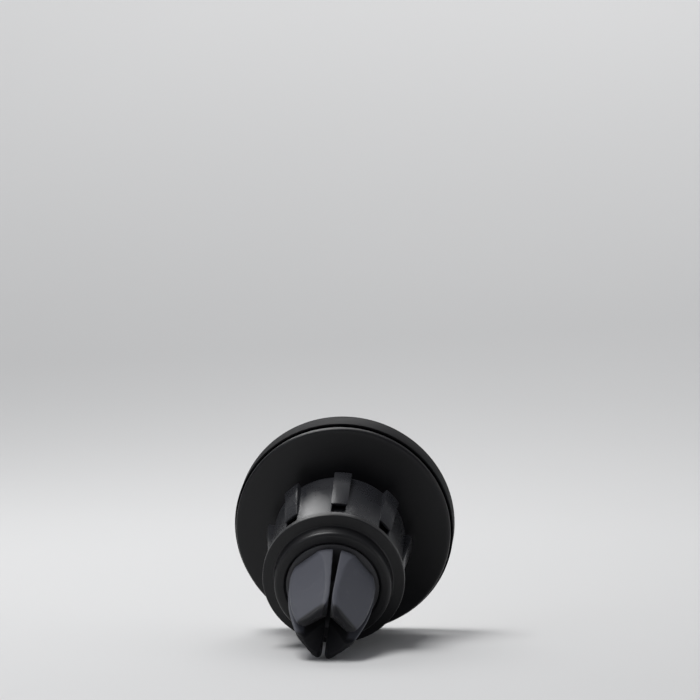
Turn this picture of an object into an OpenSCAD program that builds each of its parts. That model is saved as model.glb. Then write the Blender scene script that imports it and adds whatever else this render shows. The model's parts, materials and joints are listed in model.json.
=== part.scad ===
// Magnetic phone mount for a car's air vent: a round magnet head on a ball joint, a ribbed lock nut
// that clamps the ball, and a soft four-jaw clip that grips a vent blade.
// Its origin is the middle of the clip's mouth, where a vent blade goes in.
// It leans as it does when it props a phone on a table: the head's lower rim and the lower jaw tips
// are level. +Z is up, the clip points to -Y and a little down, the magnet face to +Y and up.
// Two local frames share the ball's centre. In both, +Z runs from the magnet face towards the jaws.

/* [Head] */
// Radius of the magnet head
head_r = 23.3; // [22.5:0.1:26]
// Distance from the ball's centre to the magnet face
face_at = 17.3; // [16.8:0.1:19]
// Distance from the ball's centre to the rear face of the head
rear_at = 9.8; // [9.6:0.1:10.5]
// Thickness of the rubber face pad
pad_t = 0.8; // [0.6:0.1:1.2]
// Thickness of the rear cover's rim
rim_t = 1.4; // [1.2:0.1:1.6]
// Width of the shadow groove between housing and rear cover
groove_w = 0.55; // [0.4:0.05:0.7]
// Number of disc magnets
magnet_count = 6; // [5:1:6]
// Radius of one disc magnet
magnet_r = 4.9; // [4:0.1:5]

/* [Ball joint] */
// Radius of the ball
ball_r = 8.5; // [8.4:0.05:8.55]
// Radius of the stud's neck
neck_r = 4.4; // [3.8:0.1:4.6]
// Angle between the clip's axis and the head's axis
ball_tilt = 5.6; // [0:0.1:12]
// Side to which the clip is tilted, measured about the head's axis
tilt_side = 19.5; // [0:0.5:30]

/* [Lock nut] */
// Radius of the nut between its ribs, at the head end
nut_r = 13.8; // [13.6:0.1:14.2]
// Radius over the ribs at the head end
rib_r = 15.3; // [14.6:0.1:15.4]
// Number of grip ribs
rib_count = 8; // [6:1:10]
// Width of one grip rib
rib_w = 3.3; // [2.6:0.1:3.6]
// Turn of the nut from the head's upright line
nut_turn = 5.5; // [0:0.5:45]

/* [Clip body] */
// Radius of the stop flange
flange_r = 14.5; // [14.2:0.1:16]
// Distance from the ball's centre to the flange
flange_at = 13.2; // [13.2:0.1:14]
// Thickness of the flange
flange_t = 1.8; // [1.4:0.1:2.2]
// Length of the round boss in front of the flange
boss_l = 3.1; // [3:0.1:4.5]
// Radius of the boss at the flange
boss_r = 12.1; // [11.9:0.1:13]
// Roll of the clip about its own axis
clip_roll = 9; // [0:1:20]

/* [Jaws] */
// Radius of the four jaws together at their roots
jaw_root_r = 8.75; // [8.6:0.05:9.3]
// Radius of the four jaws together where their rounded noses start
jaw_tip_r = 5.95; // [5.6:0.05:6.4]
// Distance from the clip's axis to the flat on each jaw's back, where the nose starts
flat_tip = 5.05; // [4.8:0.05:5.9]
// Radius of the jaws' rounded noses
nose_r = 2.2; // [1.6:0.1:2.6]
// Length of the jaws beyond the boss
jaw_l = 21; // [19:0.1:24]
// Half width of the vent slots at the jaw roots
slot_root = 0.8; // [0.7:0.05:1.1]
// Half width of the cross slot where it is narrowest
cross_min = 0.28; // [0.2:0.02:0.5]
// Half width of the cross slot's mouth
cross_mouth = 1.2; // [0.8:0.05:1.6]
// Half height of the blade slot where it is narrowest
blade_min = 0.6; // [0.3:0.05:0.75]
// Half height of the blade slot's mouth
blade_mouth = 1.3; // [0.8:0.05:1.8]

/* [Phone plate] */
// Radius of the steel plate that goes on the phone
plate_r = 20; // [18:0.5:22]
// Thickness of the steel plate
plate_t = 0.5; // [0.3:0.05:0.8]

/* [Hidden] */
// round faces are exact in the finished part, and $fn sets how finely a preview shows them
$fn = 128;
arc_steps = 8;
fit = 0.06;                  // running clearance of a turning fit
gap = 0.1;                   // clearance that lets two pieces pass

// head, along the head's axis
pad_back = -face_at + pad_t;
film_t = 0.15;
cup_end = -rear_at - rim_t - groove_w;
groove_r = head_r - 0.9;
cover_r = head_r - 0.5;
cover_edge = 0.6;
cover_inner = -12;
spigot_out = 21.1;
spigot_in = 19.9;
spigot_end = -13.2;
yoke_r = 19;
yoke_t = 0.8;
yoke_back = cover_inner - yoke_t;
magnet_back = yoke_back - 0.05;
magnet_t = 2.6;
magnet_ring = 13.2;
screw_ring = 16.6;
cover_screw_count = 3;
stud_web = 0.85;             // the rear cover's web around the neck
stud_flange_r = 7;
stud_flange_t = 0.95;
recess_r = stud_flange_r + 0.3;

// nut and clip body, along the clip's axis
nut_end = -5;                // the nut's end next to the head
nut_near = flange_at - 0.3;
nut_near_r = nut_r - 0.4;
rib_near = 7.8;
rib_near_r = nut_near_r + 0.4;
lip_t = 1.8;
collet_r = 11.2;
collet_end = -3;
bore_r = 9.8;                // the bore that holds the seat ring
thread_h = 0.55;
thread_pitch = 1.6;
thread_turns = 3;
thread_start = 6.6;
nut_bore = collet_r + thread_h + 0.3;
boss_face = flange_at + flange_t + boss_l;
boss_edge_r = boss_r - 0.9;
pocket_r = 9.45;
pocket_floor = boss_face - 2.6;
socket_floor = ball_r + 0.5;

// jaws, along the clip's axis
hinge_at = boss_face - 1;    // the jaws' hinge axes
hinge_r = 5.6;
bead_r = 1.2;
bead_l = 5.6;
tongue_t = 1.4;
hub_face = boss_face - 0.1;
jaw_start = boss_face + 0.4;
jaw_end = boss_face + jaw_l;
nose_angle = 18;             // how far the nose's arc leans forward where it starts
nose_start = jaw_end - nose_r * (1 - sin(nose_angle));
nose_mid = [jaw_tip_r - nose_r * cos(nose_angle), nose_start - nose_r * sin(nose_angle)];
flat_root = jaw_root_r - 0.5;
blade_waist = jaw_start + 0.65 * (jaw_end - jaw_start);
cross_waist = jaw_start + 0.76 * (jaw_end - jaw_start);
funnel_r = 4.3;              // the funnel where the two slots cross
funnel_l = 8;
boot_wall = 1.4;             // rubber over a jaw's core
core_end = jaw_end - 4.5;

// leaning pose: the head's rim and the jaws' lowest point are at one level
function about_x(p, a) = [p.x, p.y * cos(a) - p.z * sin(a), p.y * sin(a) + p.z * cos(a)];
function about_z(p, a) = [p.x * cos(a) - p.y * sin(a), p.x * sin(a) + p.y * cos(a), p.z];
function clip_to_head(p) = about_z(about_x(about_z(p, -tilt_side), ball_tilt), tilt_side);
clip_slope = 21;             // about how far the clip's axis then points down
tip_foot = clip_to_head([0, -nose_mid.x - nose_r * cos(clip_slope),
                         nose_mid.y + nose_r * sin(clip_slope)]);
lean = atan2(head_r + tip_foot.y, tip_foot.z - cup_end);
// the ball's centre, seen from the origin in the clip's mouth
ball_at = -about_x(clip_to_head([0, 0, jaw_end]), 90 + lean);

JAWS = ["upper_right", "upper_left", "lower_left", "lower_right"];

// ---- frames ----
module in_head() {
    translate(ball_at) rotate([90 + lean, 0, 0]) children();
}

module in_clip() {
    in_head() rotate([0, 0, tilt_side]) rotate([ball_tilt, 0, 0]) rotate([0, 0, -tilt_side]) children();
}

module in_jaws() {
    in_clip() rotate([0, 0, -clip_roll]) children();
}

// a quarter arc of points about c, from angle a to angle b
function arc(c, r, a, b) = [for (i = [0 : arc_steps]) let (t = a + (b - a) * i / arc_steps)
    [c.x + r * cos(t), c.y + r * sin(t)]];

// a disc between two heights
module disc(r, z0, z1) {
    translate([0, 0, z0]) cylinder(r = r, h = z1 - z0);
}

// copies its child count times around the axis
module around(count, start = 0) {
    for (i = [0 : count - 1]) rotate([0, 0, start + i * 360 / count]) children();
}

// ---- magnet head ----
module face_pad() {
    front = -face_at;
    color([0.06, 0.06, 0.065]) in_head() rotate_extrude() polygon(concat(
        [[0, front]],
        arc([head_r - pad_t, pad_back], pad_t, -90, 0),
        [[head_r - 1.7, pad_back], [head_r - 1.7, pad_back - film_t], [0, pad_back - film_t]]));
}

module pad_film() {
    color([0.75, 0.75, 0.72]) in_head() disc(head_r - 1.8, pad_back - film_t, pad_back);
}

module magnet_housing() {
    color([0.05, 0.05, 0.055]) in_head() difference() {
        disc(head_r, pad_back, cup_end);
        disc(spigot_out + fit, spigot_end - fit, cup_end + 1);
        disc(yoke_r + gap, yoke_back, cup_end + 1);
        around(magnet_count) translate([magnet_ring, 0, 0])
            disc(magnet_r + fit, magnet_back - magnet_t, cup_end);
        disc(stud_flange_r, magnet_back - magnet_t, cup_end);
        around(cover_screw_count, 30) translate([screw_ring, 0, 0]) {
            disc(2, pad_back - 1, pad_back + 1.05);
            disc(1.05, pad_back, cup_end);
        }
    }
}

module magnets() {
    color([0.75, 0.75, 0.77]) in_head() around(magnet_count) translate([magnet_ring, 0, 0])
        disc(magnet_r, magnet_back - magnet_t, magnet_back);
}

module steel_yoke() {
    color([0.6, 0.6, 0.62]) in_head() difference() {
        disc(yoke_r, yoke_back, cover_inner);
        around(cover_screw_count, 30) translate([screw_ring, 0, 0])
            disc(1.2, yoke_back - 1, cover_inner + 1);
    }
}

module rear_cover() {
    rim_front = -rear_at - rim_t;
    color([0.05, 0.05, 0.055]) in_head() difference() {
        rotate_extrude() polygon(concat(
            [[0, cover_inner], [spigot_in, cover_inner], [spigot_in, spigot_end],
             [spigot_out, spigot_end], [spigot_out, cup_end], [groove_r, cup_end],
             [groove_r, rim_front], [cover_r - 0.2, rim_front], [cover_r, rim_front + 0.2]],
            arc([cover_r - cover_edge, -rear_at - cover_edge], cover_edge, 0, 90),
            [[0, -rear_at]]));
        disc(recess_r, cover_inner - 1, -rear_at - stud_web);
        disc(neck_r + gap, cover_inner, -rear_at + 1);
        around(cover_screw_count, 30) translate([screw_ring, 0, 0])
            disc(1.05, cover_inner - 1, -rear_at - 0.5);
    }
}

module cover_screws() {
    color([0.7, 0.7, 0.72]) in_head() around(cover_screw_count, 30)
        translate([screw_ring, 0, 0]) difference() {
            union() {
                disc(1.9, pad_back + 0.05, pad_back + 1.05);
                disc(1, pad_back + 1, -rear_at - 0.6);
            }
            for (a = [0, 90]) rotate([0, 0, a])
                translate([-1.1, -0.2, pad_back]) cube([2.2, 0.4, 0.6]);
        }
}

module stud_washer() {
    color([0.8, 0.78, 0.7]) in_head() difference() {
        disc(stud_flange_r - 0.3, cover_inner + 0.02, cover_inner + 0.17);
        disc(3, cover_inner - 1, cover_inner + 1);
    }
}

// ---- ball joint ----
module ball_stud() {
    flange_top = -rear_at - stud_web - gap;
    color([0.1, 0.1, 0.11]) in_head() union() {
        sphere(r = ball_r);
        disc(neck_r, flange_top - 0.1, -sqrt(pow(ball_r, 2) - pow(neck_r, 2)) + 0.6);
        disc(stud_flange_r, flange_top - stud_flange_t, flange_top);
    }
}

module seat_ring() {
    color([0.85, 0.85, 0.82]) in_clip() difference() {
        disc(bore_r - fit, collet_end + 0.6, 5.6);
        sphere(r = ball_r + fit);
        translate([0, -0.5, collet_end]) cube([bore_r + 1, 1, 10]);
    }
}

// outline points of ring threads on a cylinder: the flank's foot radius, its crest radius, its start
function threads(foot, crest, start) = [for (i = [0 : thread_turns - 1], k = [0 : 3])
    let (z = start + i * thread_pitch)
    [k == 0 || k == 3 ? foot : crest, z + [0, 0.35, 0.55, 0.9][k] * thread_pitch * 0.55]];

function reversed(list) = [for (i = [len(list) - 1 : -1 : 0]) list[i]];

// the lock nut's side view of one rib: radius against height
rib_side = [[nut_bore + 0.4, nut_end], [rib_r - 0.5, nut_end], [rib_r - 0.1, nut_end + 0.2],
            [rib_r, nut_end + 0.7], [rib_near_r, rib_near - 0.2], [rib_near_r - 0.2, rib_near],
            [nut_bore + 0.4, rib_near]];

module rib() {
    rotate([90, 0, 0]) translate([0, 0, -rib_w / 2]) linear_extrude(rib_w) polygon(rib_side);
}

// the moulding core that leaves each rib hollow behind its open end
module rib_pocket() {
    slot_w = rib_w - 0.4;
    translate([nut_bore + 0.35, -slot_w / 2, rib_near]) cube([4, slot_w, 10]);
    translate([nut_bore + 0.35, 0.3 - slot_w / 2, rib_near - 4.5]) cube([0.9, slot_w - 0.6, 5]);
}

module lock_nut() {
    ball_gap = ball_r + 0.2;
    lip_top = nut_end + lip_t;
    color([0.16, 0.16, 0.17]) in_clip() rotate([0, 0, 90 - nut_turn]) difference() {
        union() {
            rotate_extrude() polygon(concat(
                [[nut_r - 0.5, nut_end], [nut_r, nut_end + 0.5], [nut_near_r, nut_near - 0.2],
                 [nut_near_r - 0.2, nut_near], [nut_bore, nut_near]],
                reversed(threads(nut_bore, nut_bore - thread_h, thread_start + thread_pitch / 2)),
                [[nut_bore, collet_end + 2.2], [nut_bore - 1, lip_top],
                 [sqrt(pow(ball_gap, 2) - pow(lip_top, 2)), lip_top],
                 [sqrt(pow(ball_gap, 2) - pow(nut_end + 0.8, 2)), nut_end + 0.8],
                 [sqrt(pow(ball_gap, 2) - pow(nut_end, 2)), nut_end]]));
            around(rib_count) rib();
        }
        around(rib_count) rib_pocket();
    }
}

// ---- clip ----
module clip_body() {
    flange_end = flange_at + flange_t;
    edge = 0.3;
    round_r = 0.7;
    color([0.07, 0.07, 0.075]) in_clip() difference() {
        rotate_extrude() polygon(concat(
            [[bore_r, collet_end], [collet_r - 0.9, collet_end], [collet_r, collet_end + 1.8]],
            threads(collet_r, collet_r + thread_h, thread_start),
            [[collet_r, flange_at], [flange_r - edge, flange_at], [flange_r, flange_at + edge],
             [flange_r, flange_end - edge], [flange_r - edge, flange_end], [boss_r, flange_end],
             [boss_edge_r + round_r, boss_face - round_r]],
            arc([boss_edge_r, boss_face - round_r], round_r, 0, 90),
            [[pocket_r, boss_face], [pocket_r, pocket_floor], [1.6, pocket_floor], [1.6, 10.8],
             [3.1, 10.8], [3.1, socket_floor], [6, socket_floor], [bore_r, 6.2]]));
        around(4, 45) translate([bore_r - 1, -0.6, collet_end - 1]) cube([3, 1.2, 8.4]);
    }
}

module clip_hub() {
    color([0.1, 0.1, 0.11]) in_jaws() difference() {
        disc(pocket_r - 0.05, pocket_floor + 0.02, hub_face);
        disc(1.55, pocket_floor - 1, hub_face - 0.6);
        around(4, 45) translate([hinge_r, 0, hinge_at]) rotate([90, 0, 0])
            cylinder(r = bead_r + fit, h = bead_l + 0.4, center = true);
        around(4, 45) translate([hinge_r - 0.92, -bead_l / 2 - 0.2, hinge_at])
            cube([1.84, bead_l + 0.4, 3]);
    }
}

module clip_screw() {
    color([0.7, 0.7, 0.72]) in_clip() difference() {
        union() {
            disc(2.9, 9.25, 10.75);
            disc(1.5, 10.7, hub_face - 0.8);
        }
        for (a = [0, 90]) rotate([0, 0, a]) translate([-1.6, -0.3, 9]) cube([3.2, 0.6, 1.1]);
    }
}

function jaw_r(w) =
    jaw_root_r - (jaw_root_r - jaw_tip_r) * pow((w - jaw_start) / (nose_start - jaw_start), 2);
function flat_d(w) =
    flat_root - (flat_root - flat_tip) * (w - jaw_start) / (nose_start - jaw_start);

// half width of a vent slot: narrowing from the root to its waist, then opening to the mouth
function slot_half(w, waist, narrow, mouth) = w < waist
    ? slot_root + (narrow - slot_root) * (w - jaw_start) / (waist - jaw_start)
    : narrow + (mouth - narrow) * pow((w - waist) / (jaw_end - waist), 2);

// outline of everything beyond a slot's side, set back by a margin
function beside_slot(waist, narrow, mouth, margin, z0, z1) = concat(
    [for (i = [0 : arc_steps]) let (w = waist + (z1 - waist) * i / arc_steps)
        [slot_half(w, waist, narrow, mouth) + margin, w]],
    [[12, z1], [12, z0], [slot_half(z0, waist, narrow, mouth) + margin, z0]]);

// outline of the wedge under a jaw's flat back, set in by a margin
function under_flat(margin, z0, z1) =
    [[0, z0], [flat_d(z0) - margin, z0], [flat_d(z1) - margin, z1], [0, z1]];

// outline that turns into the four jaws' round sides, with their noses if it reaches that far
function jaw_side(margin, z0, z1) = concat(
    [[0, z0]],
    [for (i = [0 : arc_steps]) let (w = z0 + (min(z1, nose_start) - z0) * i / arc_steps)
        [jaw_r(w) - margin, w]],
    z1 > nose_start ? arc(nose_mid, nose_r, nose_angle + 5, 90) : [],
    [[0, z1]]);

// the jaw in the quarter +X +Y, set in by a margin all round
module jaw_solid(margin, z0, z1) {
    intersection() {
        rotate_extrude() polygon(jaw_side(margin, z0, z1));
        rotate([90, 0, 0]) translate([0, 0, -12]) linear_extrude(12)
            polygon(beside_slot(cross_waist, cross_min, cross_mouth, margin, z0, z1));
        rotate([90, 0, 90]) linear_extrude(12)
            polygon(beside_slot(blade_waist, blade_min, blade_mouth, margin, z0, z1));
        rotate([90, 0, 45]) translate([0, 0, -12]) linear_extrude(24)
            polygon(under_flat(margin, z0, z1));
    }
}

// the core's round bead in the hub, and the tongue that joins it to the jaw
module jaw_root() {
    rotate([0, 0, 45]) {
        translate([hinge_r, 0, hinge_at]) rotate([90, 0, 0])
            cylinder(r = bead_r, h = bead_l, center = true);
        translate([hinge_r - tongue_t / 2, -bead_l / 2, hinge_at])
            cube([tongue_t, bead_l, jaw_start + 1.2 - hinge_at]);
    }
}

// puts the quarter's jaw in its own place: right and left are mirror images, so are upper and lower
module jaw_place(i) {
    in_jaws() mirror([i == 1 || i == 2 ? 1 : 0, 0, 0]) mirror([0, i > 1 ? 1 : 0, 0]) children();
}

module jaw_core(i) {
    color([0.12, 0.12, 0.13]) jaw_place(i) union() {
        jaw_solid(boot_wall, jaw_start + 0.6, core_end);
        jaw_root();
    }
}

module jaw_boot(i) {
    color([0.42, 0.43, 0.46]) jaw_place(i) difference() {
        jaw_solid(0, jaw_start, jaw_end);
        translate([0, 0, jaw_end - funnel_l]) cylinder(r1 = 0, r2 = funnel_r, h = funnel_l + 0.01);
        jaw_solid(boot_wall, jaw_start + 0.6, core_end);
        jaw_root();
    }
}

// ---- steel plate for the phone ----
module plate_hole() {
    rotate([0, 0, 225]) translate([plate_r - 6, 0, 0]) disc(1.2, -face_at - 3, -face_at + 1);
}

module phone_plate() {
    color([0.55, 0.56, 0.57]) in_head() difference() {
        disc(plate_r, -face_at - 0.02 - plate_t, -face_at - 0.02);
        plate_hole();
    }
}

module plate_adhesive() {
    color([0.8, 0.78, 0.7]) in_head() difference() {
        disc(plate_r - 0.2, -face_at - 0.32 - plate_t, -face_at - 0.02 - plate_t);
        plate_hole();
    }
}

face_pad();
pad_film();
magnet_housing();
magnets();
steel_yoke();
rear_cover();
cover_screws();
stud_washer();
ball_stud();
seat_ring();
lock_nut();
clip_body();
clip_hub();
clip_screw();
for (i = [0 : 3]) {
    jaw_core(i);
    jaw_boot(i);
}
phone_plate();
plate_adhesive();
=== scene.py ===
# %% [markdown]
# # A magnetic phone mount for a car's air vent
# The mount is a round magnet head on a ball joint, a ribbed nut that locks the ball, and a clip of four
# soft jaws that pushes onto a vent blade. Its mechanism is already modelled and packed, so this lesson
# loads it as a fixed frame, remodels each moulded piece that shows with its rounded edges and fine
# detail, and gives every piece a real finish.

# %% Bring in the mechanism
import json
import math

import bpy
from mathutils import Matrix, Vector


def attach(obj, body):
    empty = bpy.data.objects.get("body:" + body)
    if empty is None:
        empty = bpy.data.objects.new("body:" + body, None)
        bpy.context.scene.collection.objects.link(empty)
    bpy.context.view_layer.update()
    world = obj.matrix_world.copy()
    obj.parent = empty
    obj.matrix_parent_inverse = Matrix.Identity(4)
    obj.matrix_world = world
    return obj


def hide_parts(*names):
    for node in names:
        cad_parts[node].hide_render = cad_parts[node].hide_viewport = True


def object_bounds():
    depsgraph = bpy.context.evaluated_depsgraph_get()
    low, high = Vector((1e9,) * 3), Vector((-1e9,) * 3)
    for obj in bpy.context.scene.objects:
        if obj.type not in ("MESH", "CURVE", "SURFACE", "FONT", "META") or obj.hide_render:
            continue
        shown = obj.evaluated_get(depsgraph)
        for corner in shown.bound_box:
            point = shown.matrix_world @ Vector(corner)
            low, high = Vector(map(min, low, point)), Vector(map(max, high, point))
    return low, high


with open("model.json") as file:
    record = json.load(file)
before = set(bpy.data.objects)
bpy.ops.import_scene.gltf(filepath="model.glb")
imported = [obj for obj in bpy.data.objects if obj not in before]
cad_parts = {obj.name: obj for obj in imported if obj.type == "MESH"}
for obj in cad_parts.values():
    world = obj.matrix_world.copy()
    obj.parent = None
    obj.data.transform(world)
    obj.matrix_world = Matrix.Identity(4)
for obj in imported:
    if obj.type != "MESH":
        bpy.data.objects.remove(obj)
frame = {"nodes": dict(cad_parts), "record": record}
cad_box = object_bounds()
mm = 0.001
print("the mount measures", [round((b - a) / mm, 1) for a, b in zip(*cad_box)], "mm")

# %% [markdown]
# The head and the clip each have their own axis, and both pass through the ball's centre. The joints
# say where they are. It is easiest to model a round piece upright about the world's Z axis and to lay
# it along its own axis afterwards, so each half of the mount gets a frame: a matrix whose Z axis runs
# from the magnet face towards the jaws.

# %% The two halves' own frames
joints = {joint["name"]: joint for joint in frame["record"]["behaviour"]["joints"]}
ball_centre = Vector(joints["ball_tilt"]["pos_m"])
head_axis = Vector(joints["head_spin"]["axis"])
clip_axis = Vector(joints["nut_turn"]["axis"])


def frame_along(axis, across):
    """A frame at the ball's centre with Z along the axis and X as near as it can be to across."""
    z = axis.normalized()
    y = z.cross(across).normalized()
    x = y.cross(z)
    return Matrix.Translation(ball_centre) @ Matrix((x, y, z)).transposed().to_4x4()


head_frame = frame_along(head_axis, Vector((1, 0, 0)))
clip_turn = head_axis.rotation_difference(clip_axis).to_matrix()
clip_frame = frame_along(clip_axis, clip_turn @ Vector((1, 0, 0)))
jaw_hinge = {side: Vector(joints[f"jaw_{side}_bend"]["pos_m"])
             for side in ("upper_right", "upper_left", "lower_left", "lower_right")}
jaw_frame = frame_along(clip_axis, jaw_hinge["upper_right"] - jaw_hinge["upper_left"])
print("the clip is tilted", round(math.degrees(head_axis.angle(clip_axis)), 1), "degrees")

# %% [markdown]
# An operator acts on everything that is selected, and loading the frame leaves all its pieces selected.
# So each piece starts with nothing selected, and later its faces, edges or corners are picked by a test
# on where they are. The test runs in object mode, because edit mode keeps its own copy of the mesh.

# %% Selecting
def select_nothing():
    if bpy.context.object and bpy.context.object.mode != "OBJECT":
        bpy.ops.object.mode_set(mode="OBJECT")
    bpy.ops.object.select_all(action="DESELECT")


def edit_all(piece):
    """Goes into edit mode on one piece, with all of it selected."""
    select_nothing()
    bpy.context.view_layer.objects.active = piece
    piece.select_set(True)
    bpy.ops.object.mode_set(mode="EDIT")
    bpy.ops.mesh.select_all(action="SELECT")


def centre_of(mesh, item):
    if isinstance(item, bpy.types.MeshPolygon):
        return item.center.copy()
    if isinstance(item, bpy.types.MeshEdge):
        return (mesh.vertices[item.vertices[0]].co + mesh.vertices[item.vertices[1]].co) / 2
    return item.co.copy()


def pick(piece, kind, wanted):
    """Selects the faces, edges or corners whose centre passes the test, and stays in edit mode."""
    edit_all(piece)
    bpy.ops.mesh.select_mode(type=kind)
    bpy.ops.mesh.select_all(action="DESELECT")
    bpy.ops.object.mode_set(mode="OBJECT")
    mesh = piece.data
    items = {"FACE": mesh.polygons, "EDGE": mesh.edges, "VERT": mesh.vertices}[kind]
    chosen = 0
    for item in items:
        item.select = bool(wanted(centre_of(mesh, item) / mm))
        chosen += item.select
    bpy.ops.object.mode_set(mode="EDIT")
    return chosen


# %% [markdown]
# A finished piece is laid in its frame and its transform is applied, so its object sits at the world's
# origin and its place is in its mesh. Smooth shading stops at sharp edges, so a rounded edge looks
# rounded and a flat face stays flat. Last, the piece is put on the body it rides on, and the imported
# piece it stands for is hidden.

# %% Finishing a piece
def use_modifier(piece, kind, **settings):
    """Adds a modifier and applies it at once."""
    select_nothing()
    bpy.context.view_layer.objects.active = piece
    piece.select_set(True)
    modifier = piece.modifiers.new(kind.lower(), kind)
    for name, value in settings.items():
        setattr(modifier, name, value)
    bpy.ops.object.modifier_apply(modifier=modifier.name)


def lay_in(piece, own_frame, smooth_under=35):
    select_nothing()
    bpy.context.view_layer.objects.active = piece
    piece.select_set(True)
    piece.matrix_world = own_frame
    bpy.ops.object.transform_apply(location=True, rotation=True, scale=True)
    bpy.ops.object.shade_smooth_by_angle(angle=math.radians(smooth_under))
    return piece


def settle(piece, body, node):
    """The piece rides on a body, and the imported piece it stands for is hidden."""
    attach(piece, body)
    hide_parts(node)
    print(piece.name, "has", len(piece.data.polygons), "faces")
    return piece


# %% [markdown]
# Most of the mount is round, as if turned on a lathe. A turned piece starts as a small plane merged to
# one corner, and that corner is extruded along half of the piece's cross-section. Corners of the
# outline that are rounded on the real piece are bevelled there, while the outline is still a line,
# because a bevel on the line costs a few points and gives a true round edge. Then it is spun about Z.

# %% Turning a piece on the lathe
def trace(name, outline):
    """A line through the outline's points (radius, height, optional edge radius) in mm, on the XZ plane."""
    select_nothing()
    bpy.ops.mesh.primitive_plane_add(size=mm)
    piece = bpy.context.object
    piece.name = name
    edit_all(piece)
    bpy.ops.mesh.select_mode(type="VERT")
    bpy.ops.mesh.merge(type="CENTER")
    bpy.ops.transform.translate(value=(outline[0][0] * mm, 0, outline[0][1] * mm))
    for before, after in zip(outline, outline[1:]):
        step = ((after[0] - before[0]) * mm, 0, (after[1] - before[1]) * mm)
        bpy.ops.mesh.extrude_region_move(TRANSFORM_OT_translate={"value": step})
    for point in outline:
        if len(point) == 3:
            corner = Vector((point[0], 0, point[1]))
            pick(piece, "VERT", lambda at: (at - corner).length < 0.001)
            bpy.ops.mesh.bevel(offset=point[2] * mm, segments=6, affect="VERTICES")
    bpy.ops.object.mode_set(mode="OBJECT")
    return piece


def turned(name, outline, steps=160):
    piece = trace(name, outline)
    edit_all(piece)
    bpy.ops.mesh.spin(steps=steps, angle=math.tau, center=(0, 0, 0), axis=(0, 0, 1))
    bpy.ops.mesh.select_all(action="SELECT")
    bpy.ops.mesh.remove_doubles(threshold=0.002 * mm)
    bpy.ops.mesh.delete_loose(use_verts=True, use_edges=True, use_faces=False)
    bpy.ops.mesh.select_all(action="SELECT")
    bpy.ops.mesh.normals_make_consistent(inside=False)
    bpy.ops.object.mode_set(mode="OBJECT")
    return piece


# %% [markdown]
# ## The camera and the light
# The mount is a small object seen from about 60 cm, so a long lens keeps it from looking stretched. The
# camera stands level with the mount's upper half, on the clip's side and a little to the right. It comes
# first, so that each new piece can be judged in the view that matters.

# %% Camera
head_r = 23.3
face_at = -17.3
pad_back = -16.5
cup_end = -11.75
cover_front = -11.2
rear_at = -9.8
head_foot = head_frame @ Vector((0, -head_r * mm, cup_end * mm))

camera_at = head_foot + Vector((60.5, -586.3, 65.2)) * mm
looking = Vector((-0.1011, 0.9949, -0.0086)).normalized()
level_right = Vector((0.9949, 0.1011, -0.0057))
camera_up = level_right.cross(looking).normalized()
camera_right = looking.cross(camera_up)

camera_data = bpy.data.cameras.new("camera")
camera_data.sensor_width = 36
camera_data.lens = 141.4
camera_data.clip_start = 0.01
camera = bpy.data.objects.new("camera", camera_data)
camera.matrix_world = (Matrix.Translation(camera_at)
                       @ Matrix((camera_right, camera_up, -looking)).transposed().to_4x4())
bpy.context.scene.collection.objects.link(camera)
bpy.context.scene.camera = camera
print("camera", round((camera_at - ball_centre).length, 3), "m from the ball")

# %% [markdown]
# A product like this is shot on a pale sweep: a floor that bends up into the backdrop with no corner.
# The sweep is a plane whose far edge is extruded upwards, with the fold bevelled to a wide round. It lies
# at the mount's lowest point: the mount leans on its head's lower rim and its two lower jaws, as it does
# when it props up a phone.

# %% The pale sweep
select_nothing()
floor_z = cad_box[0][2]
bpy.ops.mesh.primitive_plane_add(size=4, location=(0, 0, floor_z))
sweep = bpy.context.object
sweep.name = "sweep"
bpy.ops.object.transform_apply(location=True)
pick(sweep, "EDGE", lambda at: at.y > 1900)
bpy.ops.mesh.extrude_region_move(TRANSFORM_OT_translate={"value": (0, 0.3, 2.5)})
pick(sweep, "EDGE", lambda at: abs(at.y - 2000) < 1 and at.z < 1)
bpy.ops.mesh.bevel(offset=1.6, segments=32, affect="EDGES")
select_nothing()
for face in sweep.data.polygons:
    face.use_smooth = True

# %% [markdown]
# The main light is a soft box overhead and a little to the left. A second one behind and above skims
# the nut's panels where the head doesn't hide them, so they brighten towards the flange. Two faint boxes
# lift the sides. The room itself is dim, so the ends that face the camera stay nearly black, and the
# overhead box draws a thin bright line along every rounded upper edge.

# %% Soft studio light
def soft_box(name, at, size, power, aim=ball_centre, colour=(1, 1, 1)):
    data = bpy.data.lights.new(name, "AREA")
    data.shape = "RECTANGLE"
    data.size, data.size_y = size
    data.energy = power
    data.color = colour
    light = bpy.data.objects.new(name, data)
    light.location = at
    light.rotation_euler = (aim - Vector(at)).to_track_quat("-Z", "Y").to_euler()
    bpy.context.scene.collection.objects.link(light)


soft_box("overhead_box", (-0.20, 0.02, 0.62), (0.36, 0.28), 3.2)
soft_box("back_top_box", (-0.12, 0.50, 0.42), (0.42, 0.18), 0.95)
soft_box("front_left_box", (-0.55, -0.50, 0.40), (0.40, 0.40), 0.5, colour=(0.90, 0.93, 1.0))
soft_box("low_right_box", (0.60, -0.10, 0.10), (0.25, 0.20), 0.25)
soft_box("backdrop_box", (0, 0.9, 1.5), (1.6, 0.6), 22, aim=Vector((0, 2.2, 0.7)))

room = bpy.data.worlds.new("room")
room.use_nodes = True
room.node_tree.nodes["Background"].inputs["Color"].default_value = (0.93, 0.95, 1.0, 1)
room.node_tree.nodes["Background"].inputs["Strength"].default_value = 0.22
bpy.context.scene.world = room
bpy.context.scene.view_settings.view_transform = "Standard"

# %% [markdown]
# ## Shader maths
# A finish is a small graph of nodes, and graphs are easier to read as formulas. This class wraps one
# socket, so that an expression such as `0.4 + 0.1 * grain` adds its Math nodes by itself. Colours go
# through a Mix node instead, because Math turns a colour grey.

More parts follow.
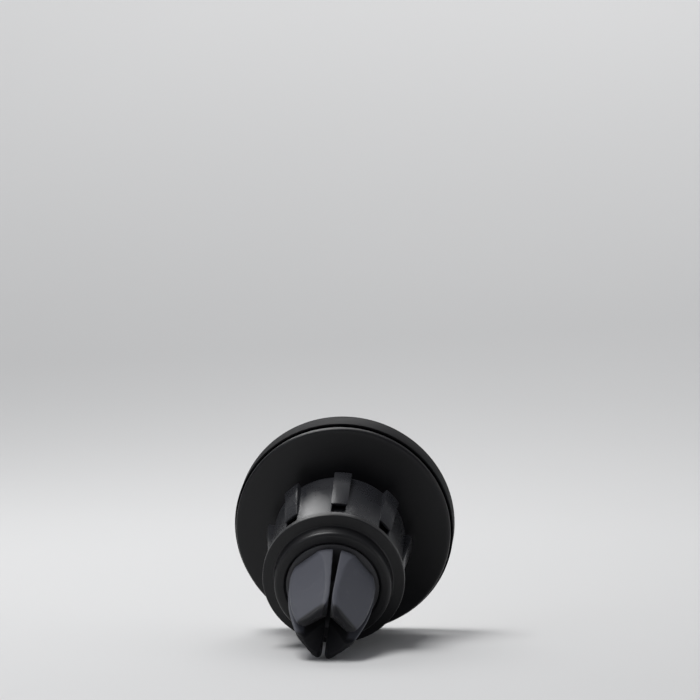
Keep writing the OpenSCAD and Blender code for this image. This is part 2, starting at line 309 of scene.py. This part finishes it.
# %% A socket that can be calculated with
class Signal:
    def __init__(self, finish, socket):
        self.finish = finish
        self.socket = socket

    def maths(self, operation, first, second):
        return self.finish.add("ShaderNodeMath", {"operation": operation}, {0: first, 1: second})

    def __add__(self, other):
        return self.maths("ADD", self, other)

    def __radd__(self, other):
        return self.maths("ADD", other, self)

    def __sub__(self, other):
        return self.maths("SUBTRACT", self, other)

    def __rsub__(self, other):
        return self.maths("SUBTRACT", other, self)

    def __mul__(self, other):
        return self.maths("MULTIPLY", self, other)

    def __rmul__(self, other):
        return self.maths("MULTIPLY", other, self)

    def __pow__(self, other):
        return self.maths("POWER", self, other)


class Finish:
    """One material: a Principled surface, and nodes that feed it."""

    def __init__(self, name):
        self.material = bpy.data.materials.new(name)
        self.material.use_nodes = True
        self.tree = self.material.node_tree
        self.surface = self.tree.nodes["Principled BSDF"]

    def add(self, kind, settings=None, inputs=None, output=0):
        node = self.tree.nodes.new(kind)
        for name, value in (settings or {}).items():
            if name == "stops":
                for stop, (at, level) in zip(node.color_ramp.elements, value):
                    stop.position = at
                    stop.color = (level, level, level, 1)
            else:
                setattr(node, name, value)
        for name, value in (inputs or {}).items():
            self.feed(node.inputs[name], value)
        return Signal(self, node.outputs[output])

    def feed(self, socket, value):
        if isinstance(value, Signal):
            self.tree.links.new(value.socket, socket)
        else:
            socket.default_value = value

    def at(self):
        """Where a point of the surface is on the object."""
        return self.add("ShaderNodeTexCoord", output="Object")

    def noise(self, size_mm, detail=2.0, where=None):
        """Soft random blobs of about that size, from 0 to 1."""
        return self.add("ShaderNodeTexNoise", {"noise_dimensions": "3D"},
                        {"Vector": where or self.at(), "Scale": 1 / (size_mm * mm), "Detail": detail})

    def blend(self, amount, first, second):
        """A colour between two colours."""
        return self.add("ShaderNodeMix", {"data_type": "RGBA"},
                        {0: amount, 6: (*first, 1), 7: (*second, 1)}, output=2)

    def sharpen(self, signal, low, high):
        """Stretches the part of a signal between low and high over 0 to 1."""
        return self.add("ShaderNodeMapRange", {"clamp": True}, {0: signal, 1: low, 2: high})

    def relief(self, height, depth_mm):
        """Raises the surface by the height signal, up to a depth."""
        normal = self.add("ShaderNodeBump", None,
                          {"Height": height, "Distance": depth_mm * mm, "Strength": 1.0}, output="Normal")
        self.feed(self.surface.inputs["Normal"], normal)

    def set(self, **sockets):
        for name, value in sockets.items():
            if isinstance(value, tuple) and len(value) == 3:
                value = (*value, 1)
            self.feed(self.surface.inputs[name.replace("_", " ")], value)
        return self


# %% [markdown]
# ## Finishes
# The black plastic pieces come from moulds with a fine spark-eroded grain, so they are never one flat
# black: the grain breaks up the highlight, the gloss drifts a little over the surface, and a little dust
# lies on it. The nut comes from a smoother mould and has a satin shine.

# %% Moulded plastic
def moulded_plastic(name, colour, roughness, grain_mm, grain_depth, dust=0.5, gloss=0.5):
    finish = Finish(name)
    grain = finish.noise(grain_mm, 3.0)
    drift = finish.noise(6.0)
    specks = finish.sharpen(finish.noise(0.55, 1.0), 0.70, 0.80)
    dusty = dust * specks * finish.sharpen(finish.noise(9.0), 0.45, 0.75)
    lighter = tuple(min(1.0, 1.35 * part + 0.001) for part in colour)
    tone = finish.blend(drift, colour, lighter)
    finish.set(Roughness=roughness - 0.07 + 0.10 * drift + 0.06 * grain + 0.25 * dusty)
    mixed = finish.add("ShaderNodeMix", {"data_type": "RGBA"},
                       {0: 0.12 * dusty, 6: tone, 7: (0.22, 0.22, 0.21, 1)}, output=2)
    finish.set(**{"Base Color": mixed, "IOR": 1.49, "Specular IOR Level": gloss})
    finish.relief(grain, grain_depth)
    return finish.material


housing_black = moulded_plastic("housing_black", (0.006, 0.006, 0.007), 0.34, 0.22, 0.004, gloss=0.32)
cup_black = moulded_plastic("cup_black", (0.006, 0.006, 0.007), 0.55, 0.22, 0.004, gloss=0.06)
clip_black = moulded_plastic("clip_black", (0.008, 0.008, 0.009), 0.36, 0.20, 0.004, gloss=0.32)
nut_satin = moulded_plastic("nut_satin", (0.013, 0.0135, 0.016), 0.27, 0.30, 0.0015, dust=0.35)
core_plastic = moulded_plastic("core_plastic", (0.040, 0.040, 0.044), 0.45, 0.25, 0.006)
ball_black = moulded_plastic("ball_black", (0.022, 0.022, 0.024), 0.22, 0.60, 0.002, dust=0.2)
nylon_white = moulded_plastic("nylon_white", (0.62, 0.61, 0.56), 0.38, 0.35, 0.004, dust=0.0)


# %% [markdown]
# The jaws are soft grey rubber. Rubber scatters light in its skin, so its highlight is broad and dull
# and its edges look a touch paler. A very fine skin texture and faint handling marks, slightly glossier
# than the rest, keep it from looking like painted wood. The face pad is the same stuff in black.
#
# At their noses and in the mouth between them the jaws lie in deep shade and look nearly black, and
# that shade is painted into the rubber: a second, near-black colour takes over towards the tips and
# inside the mouth. How far along the clip a point lies is the dot product of its place with the clip's
# axis, and how far from the axis is the length of their cross product. A little noise keeps the change
# from being a ruled line.

# %% Rubber
def rubber(name, colour, roughness, skin_mm, skin_depth, mark_strength, shade_from=None):
    finish = Finish(name)
    skin = finish.noise(skin_mm, 4.0)
    cloud = finish.noise(5.0, 3.0)
    marks = finish.sharpen(finish.noise(2.4, 4.0), 0.55, 0.72)
    darker = tuple(0.90 * part for part in colour)
    finish.set(Roughness=roughness + 0.08 * cloud - mark_strength * marks + 0.05 * skin)
    tone = finish.blend(cloud, darker, colour)
    # Painted shade: towards the noses and inside the mouth the rubber turns near black, where the jaws lie
    # in shade.
    if shade_from:
        from_ball = finish.add("ShaderNodeVectorMath", {"operation": "SUBTRACT"},
                               {0: finish.at(), 1: ball_centre})
        along = finish.add("ShaderNodeVectorMath", {"operation": "DOT_PRODUCT"},
                           {0: from_ball, 1: clip_axis}, output="Value")
        around = finish.add("ShaderNodeVectorMath", {"operation": "CROSS_PRODUCT"},
                            {0: from_ball, 1: clip_axis})
        away = finish.add("ShaderNodeVectorMath", {"operation": "LENGTH"}, {0: around}, output="Value")
        nose_shade = finish.sharpen(along + 0.5 * mm * cloud, shade_from * mm, (shade_from + 0.9) * mm)
        mouth_shade = 1 - finish.sharpen(away, 4.2 * mm, 4.7 * mm)
        painted_shade = finish.add("ShaderNodeMath", {"operation": "MAXIMUM"}, {0: nose_shade, 1: mouth_shade})
        tone = finish.add("ShaderNodeMix", {"data_type": "RGBA"},
                          {0: 0.93 * painted_shade, 6: tone, 7: (0.004, 0.004, 0.005, 1)}, output=2)
    finish.set(**{"Base Color": tone, "IOR": 1.45, "Specular IOR Level": 0.3,
                  "Sheen Weight": 0.05, "Sheen Roughness": 0.45})
    finish.relief(skin + 0.15 * marks, skin_depth)
    return finish.material


# The jaws' noses and mouth get painted shade, from 37.1 mm along the clip.
jaw_rubber = rubber("jaw_rubber", (0.072, 0.075, 0.092), 0.55, 0.16, 0.008, 0.10, shade_from=37.1)
pad_rubber = rubber("pad_rubber", (0.014, 0.014, 0.015), 0.62, 0.14, 0.012, 0.08)

# %% [markdown]
# Sheet steel shows where it was rolled: fine parallel lines, seen mostly in the gloss. The lines are
# noise that is stretched along one direction of the plate. Turned or plated pieces have rounder, finer
# marks, so they get plain small noise.

# %% Steel and other metal
def metal(name, colour, roughness, stretch, turn=(0, 0, 0), mark_mm=0.4):
    finish = Finish(name)
    lie = finish.add("ShaderNodeMapping", {"vector_type": "POINT"},
                     {"Vector": finish.at(), "Rotation": turn, "Scale": stretch})
    lines = finish.noise(mark_mm, 4.0, lie)
    cloud = finish.noise(4.0, 3.0)
    scuffs = finish.sharpen(finish.noise(1.2, 5.0, lie), 0.60, 0.72)
    darker = tuple(0.82 * part for part in colour)
    finish.set(Metallic=1.0, Roughness=roughness - 0.06 + 0.14 * lines + 0.06 * cloud + 0.10 * scuffs)
    finish.set(**{"Base Color": finish.blend(cloud, darker, colour)})
    finish.relief(lines, 0.002)
    return finish.material


lean = math.atan2(-head_axis.z, -head_axis.y)
plate_steel = metal("plate_steel", (0.50, 0.51, 0.53), 0.34, (0.04, 1, 1), (-lean, 0, 0), 0.25)
yoke_zinc = metal("yoke_zinc", (0.58, 0.60, 0.63), 0.42, (1, 1, 1), mark_mm=1.5)
screw_zinc = metal("screw_zinc", (0.60, 0.61, 0.64), 0.28, (1, 1, 1), mark_mm=0.3)
nickel = metal("nickel", (0.72, 0.70, 0.66), 0.16, (1, 1, 1), mark_mm=0.5)


# %% [markdown]
# The steel plate sticks to the phone with a foam disc, and the foam is still covered by its paper
# liner. Paper is made of fibres, so its relief is long noise in two crossed directions, and its colour
# is a slightly mottled off-white. The film under the face pad is the same kind of paper-backed glue.

# %% Liner paper
def liner_paper(name, colour):
    finish = Finish(name)
    along = finish.add("ShaderNodeMapping", None, {"Vector": finish.at(), "Scale": (0.15, 1, 1)})
    across = finish.add("ShaderNodeMapping", None, {"Vector": finish.at(), "Scale": (1, 0.15, 0.15)})
    fibres = 0.5 * finish.noise(0.12, 3.0, along) + 0.5 * finish.noise(0.12, 3.0, across)
    mottle = finish.noise(2.5, 4.0)
    darker = tuple(0.88 * part for part in colour)
    finish.set(Roughness=0.62 + 0.12 * fibres)
    finish.set(**{"Base Color": finish.blend(0.6 * fibres + 0.4 * mottle, darker, colour)})
    finish.relief(fibres, 0.012)
    return finish.material


plate_liner = liner_paper("plate_liner", (0.80, 0.77, 0.68))
pad_glue = liner_paper("pad_glue", (0.70, 0.69, 0.64))

sweep_finish = Finish("sweep_paint")
sweep_cloud = sweep_finish.noise(400.0)
sweep_finish.set(**{"Base Color": sweep_finish.blend(sweep_cloud, (0.60, 0.60, 0.60), (0.63, 0.63, 0.63)),
                    "Roughness": 0.75})
sweep.data.materials.append(sweep_finish.material)


def paint(piece, material):
    piece.data.materials.clear()
    piece.data.materials.append(material)
    return piece


# %% [markdown]
# ## The magnet head
# The head is three round mouldings: a rubber face, a cup that holds the magnets, and a cover behind
# them. On the real one they meet in thin shadow lines, and the cover has a rounded rear edge that
# catches the light as a fine bright ring. Each is a solid of revolution, so each is turned.

# %% Face pad
face_pad = turned("face_pad_skin", [
    (0, face_at), (20.9, face_at), (21.05, face_at + 0.12, 0.06), (21.35, face_at + 0.12, 0.06),
    (21.5, face_at), (head_r, face_at, 0.72), (head_r, pad_back, 0.05), (0, pad_back)])
paint(face_pad, pad_rubber)
settle(lay_in(face_pad, head_frame), "head", "face_pad")

# %% Magnet cup
magnet_cup = turned("magnet_cup", [
    (0, pad_back + 0.01), (head_r - 0.02, pad_back + 0.01, 0.12), (head_r - 0.02, cup_end, 0.14),
    (23.0, cup_end), (22.5, cup_end - 0.9), (20.8, cup_end - 0.9), (0, cup_end - 0.9)])
paint(magnet_cup, cup_black)
settle(lay_in(magnet_cup, head_frame), "head", "magnet_housing")

# %% [markdown]
# The cover carries the groove on its front side, a rounded edge behind it, and a low collar around the
# hole where the ball's neck comes out. Its middle is very slightly dished, as moulded discs are, which
# keeps the flat face from shining all at once.

# %% Rear cover
groove_r = 22.4
cover_r = 22.8
neck_hole = 4.5
rear_cover = turned("rear_cover_shell", [
    (neck_hole, cover_front), (19.5, cover_front), (19.5, cup_end - 0.5), (groove_r, cup_end - 0.5),
    (groove_r, cover_front), (cover_r, cover_front, 0.10), (cover_r, rear_at, 0.58),
    (21.6, rear_at), (12.0, rear_at - 0.05), (7.0, rear_at - 0.06),
    (6.6, rear_at, 0.06), (neck_hole + 0.1, rear_at, 0.15), (neck_hole, cover_front)])
paint(rear_cover, housing_black)
settle(lay_in(rear_cover, head_frame), "head", "rear_cover")

# %% [markdown]
# ## The ball
# The ball, its neck and the flange inside the head are one piece. Its outline is a circle that the neck
# leaves with a small fillet, so the outline's points on the ball follow the circle's own formula.

# %% Ball, neck and flange
ball_r = 8.5
neck_r = 4.3
neck_leaves = -math.sqrt(ball_r ** 2 - neck_r ** 2)
ball_steps = 40
first_angle = math.atan2(neck_leaves, neck_r)
ball_arc = [(ball_r * math.cos(a), ball_r * math.sin(a))
            for a in (first_angle + (math.pi / 2 - first_angle) * i / ball_steps
                      for i in range(1, ball_steps))]
ball_stud = turned("ball_and_neck", [
    (0, rear_at - 1.8), (6.9, rear_at - 1.8, 0.15), (6.9, rear_at - 0.97, 0.15),
    (neck_r, rear_at - 0.97, 0.2), (neck_r, neck_leaves, 0.35)] + ball_arc + [(0, ball_r)], steps=96)
paint(ball_stud, ball_black)
settle(lay_in(ball_stud, head_frame), "stud", "ball_stud")

# %% [markdown]
# ## The lock nut
# The nut is a slightly tapered ring with eight raised ribs for the fingers. The ribs stand proud at the
# head end and sink almost flush before the flange, where each one ends over an open slot: the mould's
# core came in there, so the rib is hollow behind the slot. The ring starts as an open cone with 13 faces
# to each rib and panel, so that a rib is exactly four faces wide and can be extruded from them.

# %% Ring of the nut
nut_end, nut_near = -5.0, 12.9
nut_end_r, nut_near_r = 13.8, 13.4
rib_near = 7.8
rib_end_r, rib_near_r = 15.3, 13.85
ribs = 8
faces_per_rib = 13
nut_mid = (nut_end + nut_near) / 2

select_nothing()
bpy.ops.mesh.primitive_cone_add(vertices=ribs * faces_per_rib, radius1=nut_end_r * mm,
                                radius2=nut_near_r * mm, depth=(nut_near - nut_end) * mm,
                                end_fill_type="NOTHING", location=(0, 0, nut_mid * mm))
nut = bpy.context.object
nut.name = "lock_nut_grip"
bpy.ops.object.transform_apply(location=True)
for height in (nut_end + 0.9, nut_end + 5, rib_near, nut_near - 0.5):
    edit_all(nut)
    bpy.ops.mesh.bisect(plane_co=(0, 0, height * mm), plane_no=(0, 0, 1))


def ring_at(height, reach=0.01):
    return lambda at: abs(at.z - height) < reach


def step_ring(radius_ratio, rise):
    """Extrudes the selected ring of edges, scales it about the axis and moves it along."""
    bpy.ops.mesh.extrude_region_move(TRANSFORM_OT_translate={"value": (0, 0, rise * mm)})
    bpy.ops.transform.resize(value=(radius_ratio, radius_ratio, 1), center_override=(0, 0, 0))


bore_r, bore_end = 12.2, -2.0
step_r, lip_r, lip_top = 11.0, 8.2, -3.2
ball_hole_r, end_hole_r, hole_chamfer = 7.3, 7.5, 0.25
pick(nut, "EDGE", ring_at(nut_near))
step_ring(bore_r / nut_near_r, 0)
step_ring(1, bore_end - nut_near)
step_ring(step_r / bore_r, lip_top - bore_end)
step_ring(lip_r / step_r, 0)
step_ring(ball_hole_r / lip_r, nut_end + hole_chamfer - lip_top)
pick(nut, "EDGE", ring_at(nut_end))
step_ring(end_hole_r / nut_end_r, 0)
step_ring(ball_hole_r / end_hole_r, hole_chamfer)
edit_all(nut)
bpy.ops.mesh.remove_doubles(threshold=0.01 * mm)
bpy.ops.mesh.normals_make_consistent(inside=False)
select_nothing()

# %% [markdown]
# To raise the ribs, the outer faces in each rib's sector are extruded, and each ring of their corners is
# then scaled away from the axis by its own amount, so the ribs' tops slope. The sides come out radial,
# so a rib is a little wider where it is higher, as on the real nut.

# %% Ribs
sector = 360 / ribs
rib_share = 4 / faces_per_rib


def in_rib(at):
    """True inside a rib's sector: the first rib is centred on the X axis."""
    turn = math.degrees(math.atan2(at.y, at.x)) + rib_share * sector / 2
    return turn % sector < rib_share * sector


def shell_r(height):
    return nut_end_r + (nut_near_r - nut_end_r) * (height - nut_end) / (nut_near - nut_end)


def rib_r(height):
    return rib_end_r + (rib_near_r - rib_end_r) * (height - nut_end) / (rib_near - nut_end)


inside_shell_r = 13.3
rib_end_drop = 0.35
pick(nut, "FACE",
     lambda at: math.hypot(at.x, at.y) > inside_shell_r and at.z < rib_near and in_rib(at))
bpy.ops.mesh.extrude_region_move()
bpy.ops.object.mode_set(mode="OBJECT")
raised = {vertex.index for vertex in nut.data.vertices if vertex.select}
for height in (nut_end, nut_end + 0.9, nut_end + 5, rib_near):
    bpy.ops.object.mode_set(mode="OBJECT")
    for edge in nut.data.edges:
        edge.select = False
    for face in nut.data.polygons:
        face.select = False
    for vertex in nut.data.vertices:
        vertex.select = vertex.index in raised and abs(vertex.co.z / mm - height) < 0.01
    bpy.ops.object.mode_set(mode="EDIT")
    bpy.ops.mesh.select_mode(type="VERT")
    grow = (rib_r(height) - (rib_end_drop if height == nut_end else 0)) / shell_r(height)
    bpy.ops.transform.resize(value=(grow, grow, 1), center_override=(0, 0, 0))
select_nothing()
print("nut before the slots:", len(nut.data.polygons), "faces")

# %% [markdown]
# One cutter makes each slot: its outline, seen from the side, takes the rib's open end away and reaches
# on as a thin tongue under the rib, so the slot looks as deep and dark as it is. The outline is traced,
# filled and extruded to the slot's width, and turned to its rib. A fine bevel then softens every edge of
# the nut, as on a moulding.

# %% Slots under the ribs
def cut_away(piece, cutter):
    use_modifier(piece, "BOOLEAN", operation="DIFFERENCE", object=cutter, solver="EXACT")
    bpy.data.objects.remove(cutter)


def outline_block(name, outline, width, turn):
    """A block that is width thick along Y, with that outline on XZ, turned about Z."""
    block = trace(name, outline)
    edit_all(block)
    bpy.ops.mesh.edge_face_add()
    bpy.ops.transform.translate(value=(0, -width / 2 * mm, 0))
    bpy.ops.mesh.extrude_region_move(TRANSFORM_OT_translate={"value": (0, width * mm, 0)})
    bpy.ops.mesh.select_all(action="SELECT")
    bpy.ops.mesh.normals_make_consistent(inside=False)
    bpy.ops.object.mode_set(mode="OBJECT")
    block.rotation_euler.z = turn
    bpy.ops.object.transform_apply(rotation=True)
    return block


slot_floor, slot_roof, slot_w = 12.35, 13.3, 2.9
tongue_end = rib_near - 4.5
slot_side = [(slot_floor, tongue_end), (slot_roof, tongue_end), (slot_roof, rib_near),
             (17, rib_near), (17, 14), (slot_floor, 14)]
for i in range(ribs):
    cut_away(nut, outline_block("slot_cutter", slot_side, slot_w, math.radians(i * sector)))
use_modifier(nut, "BEVEL", width=0.16 * mm, segments=2, limit_method="ANGLE",
             angle_limit=math.radians(32), use_clamp_overlap=True)
paint(nut, nut_satin)
nut_turn = 5.5          # degrees that the first rib is turned from the top
nut_place = clip_frame @ Matrix.Rotation(math.radians(90 - nut_turn), 4, "Z")
settle(lay_in(nut, nut_place), "nut", "lock_nut")

# %% [markdown]
# ## The clip's body
# The body is one turned moulding: a collet with ring threads inside the nut, a stop flange with a thin
# bright rim, and a boss whose front edge is well rounded. The jaws stand in a round pocket in its face.

# %% Collet, flange and boss
flange_at, flange_end = 13.2, 15.0
flange_r = 14.5
boss_face = 18.1
pocket_r = 9.45
collet_r, thread_r = 11.2, 11.72
thread_pitch = 1.6
thread_points = []
for i in range(3):
    start = 6.6 + i * thread_pitch
    thread_points += [(collet_r, start), (thread_r, start + 0.31), (thread_r, start + 0.48),
                      (collet_r, start + 0.79)]
clip_body = turned("clip_body_shell", [
    (9.8, -3.0), (10.3, -3.0), (collet_r, -1.2)] + thread_points + [
    (collet_r, flange_at, 0.2), (flange_r, flange_at, 0.28), (flange_r, flange_end, 0.34),
    (12.1, flange_end, 0.35), (11.85, boss_face, 0.75), (9.9, boss_face, 0.1),
    (pocket_r, boss_face - 0.3), (pocket_r, 15.6), (0, 15.6), (0, 10.8), (9.8, 6.2), (9.8, -3.0)])
paint(clip_body, clip_black)
settle(lay_in(clip_body, clip_frame), "clip_base", "clip_body")

# %% [markdown]
# ## The soft jaws
# The four jaws read as one blunt cone with a rounded nose and a flat down each jaw's back, cut by a cross
# of two slots that narrow towards the middle and open again at the tips, to guide a vent blade in. So
# they are made that way: the cone is turned, its flats are bisected off, the slots are cut, and what is
# left falls into four loose pieces. Rubber has no sharp edges, so each jaw is remeshed finely and
# smoothed.

# %% The blank for all four jaws
jaw_start, jaw_end = 18.5, 39.1
jaw_span = jaw_end - jaw_start
root_r, tip_r, nose_r = 8.75, 5.95, 2.2
flat_root, flat_tip = 8.25, 5.05
nose_lean = math.radians(18)
nose_start = jaw_end - nose_r * (1 - math.sin(nose_lean))
nose_x = tip_r - nose_r * math.cos(nose_lean)
nose_z = nose_start - nose_r * math.sin(nose_lean)


def jaw_radius(height):
    return root_r - (root_r - tip_r) * ((height - jaw_start) / (nose_start - jaw_start)) ** 2


heights = [jaw_start + (nose_start - jaw_start) * i / 14 for i in range(1, 15)]
nose_turns = [nose_lean + (math.pi / 2 - nose_lean) * i / 8 for i in range(1, 9)]
blank = turned("jaw_blank", [(0, jaw_start), (root_r, jaw_start)]
               + [(jaw_radius(height), height) for height in heights]
               + [(nose_x + nose_r * math.cos(turn), nose_z + nose_r * math.sin(turn))
                  for turn in nose_turns] + [(0, jaw_end)], steps=96)
flat_angle = math.atan2(flat_root - flat_tip, nose_start - jaw_start)
for quarter in range(4):
    turn = math.radians(45 + 90 * quarter)
    outwards = Vector((math.cos(turn), math.sin(turn), 0))
    edit_all(blank)
    bpy.ops.mesh.bisect(plane_co=outwards * flat_root * mm + Vector((0, 0, jaw_start * mm)),
                        plane_no=outwards * math.cos(flat_angle) + Vector((0, 0, math.sin(flat_angle))),
                        use_fill=True, clear_outer=True)
select_nothing()

# %% [markdown]
# A slot's cutter is a plate whose two sides follow the slot's half width: narrowing in a straight line
# from the root to a waist, then opening in a curve to the mouth. Its outline is traced, filled and
# extruded right through. A cone opens the middle of the cross into a funnel at the tips.

# %% The cross of slots
slot_root = 0.8
funnel_r, funnel_l = 4.3, 8.0


def slot_half(height, waist, narrow, mouth):
    if height < waist:
        return slot_root + (narrow - slot_root) * (height - jaw_start) / (waist - jaw_start)
    return narrow + (mouth - narrow) * ((height - waist) / (jaw_end - waist)) ** 2


def slot_cutter(name, waist_share, narrow, mouth, turn):
    waist = jaw_start + waist_share * jaw_span
    levels = [jaw_start - 1, waist] + [waist + (jaw_end - waist) * i / 8 for i in range(1, 9)]
    right = [(slot_half(level, waist, narrow, mouth), level) for level in levels]
    right.append((mouth + 0.5, jaw_end + 1))
    left = [(-half, level) for half, level in reversed(right)]
    return outline_block(name, right + left, 24, turn)


cut_away(blank, slot_cutter("cross_cutter", 0.76, 0.28, 1.2, 0))
cut_away(blank, slot_cutter("blade_cutter", 0.65, 0.6, 1.3, math.pi / 2))
select_nothing()
bpy.ops.mesh.primitive_cone_add(vertices=64, radius1=0, radius2=funnel_r * mm, depth=funnel_l * mm,
                                location=(0, 0, (jaw_end - funnel_l / 2 + 0.01) * mm))
mouth_cone = bpy.context.object
cut_away(blank, mouth_cone)
edit_all(blank)
bpy.ops.mesh.separate(type="LOOSE")
bpy.ops.object.mode_set(mode="OBJECT")
jaws = [piece for piece in bpy.context.selected_objects if piece.type == "MESH"]
print("the blank fell into", len(jaws), "jaws")

# %% Round, paint and place each jaw
for jaw in jaws:
    middle = sum((vertex.co for vertex in jaw.data.vertices), Vector()) / len(jaw.data.vertices)
    side = ("upper" if middle.y > 0 else "lower") + ("_right" if middle.x > 0 else "_left")
    jaw.name = f"jaw_rubber_{side}"
    use_modifier(jaw, "REMESH", mode="VOXEL", voxel_size=0.13 * mm, use_smooth_shade=True)
    use_modifier(jaw, "SMOOTH", factor=0.5, iterations=10)
    paint(jaw, jaw_rubber)
    lay_in(jaw, jaw_frame, smooth_under=80)
    settle(jaw, f"jaw_{side}", f"jaw_boot_{side}")

# %% [markdown]
# ## The plate for the phone
# The steel plate is stamped from sheet, which rolls its edge over on one side and leaves it square on
# the other. Its small hole is cut through plate and foam alike. Both are turned, then drilled.

# %% Steel plate and its liner
plate_r = 20.0
plate_back, plate_front, liner_front = face_at - 0.02, face_at - 0.52, face_at - 0.82


def drill(piece):
    """The small hole near the edge, through the whole piece."""
    select_nothing()
    turn = math.radians(225)
    spot = Vector((math.cos(turn), math.sin(turn), 0)) * (plate_r - 6) * mm
    bpy.ops.mesh.primitive_cylinder_add(vertices=40, radius=1.2 * mm, depth=4 * mm,
                                        location=spot + Vector((0, 0, plate_front * mm)))
    cut_away(piece, bpy.context.object)


phone_plate = turned("phone_plate_disc", [
    (0, plate_back), (plate_r, plate_back, 0.16), (plate_r, plate_front, 0.04), (0, plate_front)])
drill(phone_plate)
paint(phone_plate, plate_steel)
settle(lay_in(phone_plate, head_frame), "plate", "phone_plate")

plate_liner_disc = turned("plate_liner_disc", [
    (0, plate_front), (19.75, plate_front), (19.75, liner_front + 0.1), (19.8, liner_front + 0.1),
    (19.8, liner_front, 0.03), (0, liner_front)])
drill(plate_liner_disc)
paint(plate_liner_disc, plate_liner)
settle(lay_in(plate_liner_disc, head_frame), "plate", "plate_adhesive")

# %% [markdown]
# ## The pieces that stay as they are
# The magnets, the screws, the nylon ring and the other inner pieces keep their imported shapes, which are
# exact. They only need real finishes.

# %% Finishes for the inner pieces
inner_finishes = {
    "pad_film": pad_glue, "magnets": nickel, "steel_yoke": yoke_zinc, "cover_screws": screw_zinc,
    "stud_washer": screw_zinc, "seat_ring": nylon_white, "clip_hub": core_plastic,
    "clip_screw": screw_zinc,
}
for side in jaw_hinge:
    inner_finishes[f"jaw_core_{side}"] = core_plastic
for node, material in inner_finishes.items():
    paint(frame["nodes"][node], material)
